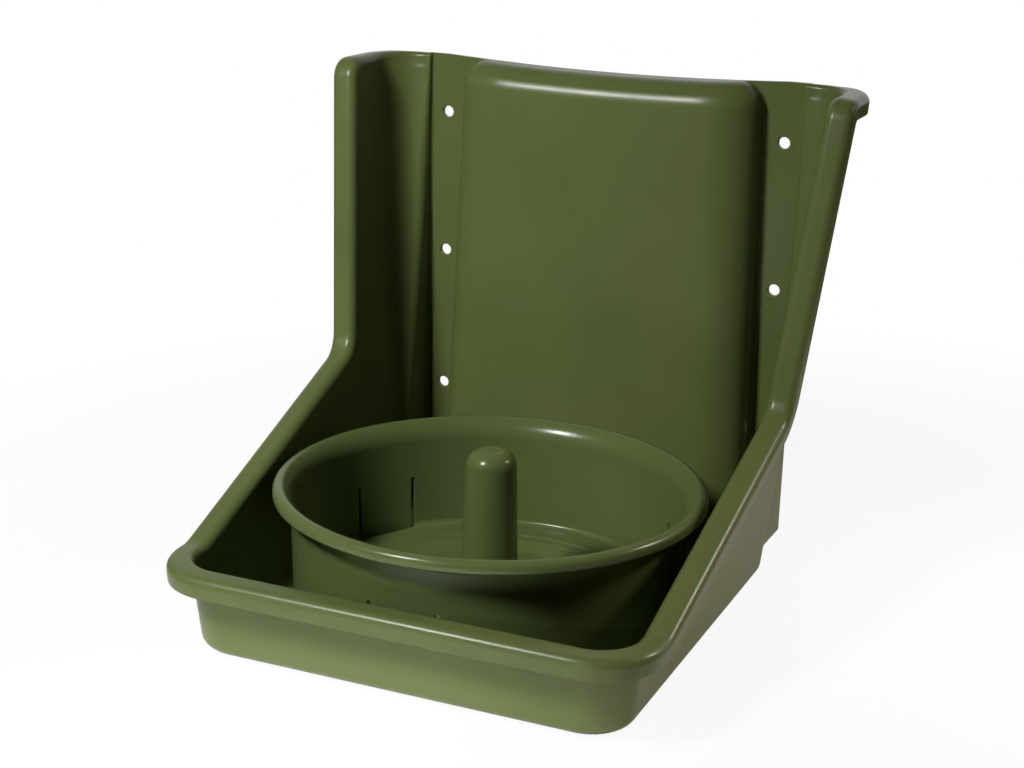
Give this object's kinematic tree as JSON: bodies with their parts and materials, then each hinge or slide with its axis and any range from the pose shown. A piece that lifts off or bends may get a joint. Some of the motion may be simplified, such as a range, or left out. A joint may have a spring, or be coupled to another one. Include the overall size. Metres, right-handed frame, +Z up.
{
  "type": "livestock mineral feeder",
  "caption": "Wall-hung plastic mineral feeder: drafted tray with raised side wings, rolled rim and panelled back with screw strips, holding a round lift-out bowl with a centre post.",
  "frame": {"origin": "centre of the bounding box, on the tray's bottom face", "axes": "+X to the right as seen from the front, +Y back to the wall, +Z up"},
  "size_m": [0.3878, 0.3684, 0.348],
  "materials": {
    "housing_plastic": "satin olive green, moulded through",
    "bowl_plastic": "satin olive green, moulded through"
  },
  "bodies": {
    "housing": {"housing": "housing_plastic"},
    "bowl": {"bowl": "bowl_plastic", "bowl_floor": "bowl_plastic", "bowl_post": "bowl_plastic"},
    "tongue_front": {"tongue_front": "bowl_plastic"},
    "tongue_left": {"tongue_left": "bowl_plastic"},
    "tongue_right": {"tongue_right": "bowl_plastic"}
  },
  "joints": [
    {"name": "bowl_lift", "type": "slide", "parent": "housing", "child": "bowl", "axis": [0, 0, 1], "range_m": [0, 0.15]},
    {"name": "tongue_front_bend", "type": "hinge", "parent": "bowl", "child": "tongue_front", "pos_m": [0, -0.15164, 0.0525], "axis": [-1, 0, 0], "range_deg": [0, 4], "stiffness_Nm_per_rad": 2},
    {"name": "tongue_left_bend", "type": "hinge", "parent": "bowl", "child": "tongue_left", "pos_m": [-0.11462, 0.04689, 0.0525], "axis": [0.5, 0.866, 0], "range_deg": [0, 4], "stiffness_Nm_per_rad": 2},
    {"name": "tongue_right_bend", "type": "hinge", "parent": "bowl", "child": "tongue_right", "pos_m": [0.11462, 0.04689, 0.0525], "axis": [0.5, -0.866, 0], "range_deg": [0, 4], "stiffness_Nm_per_rad": 2}
  ]
}
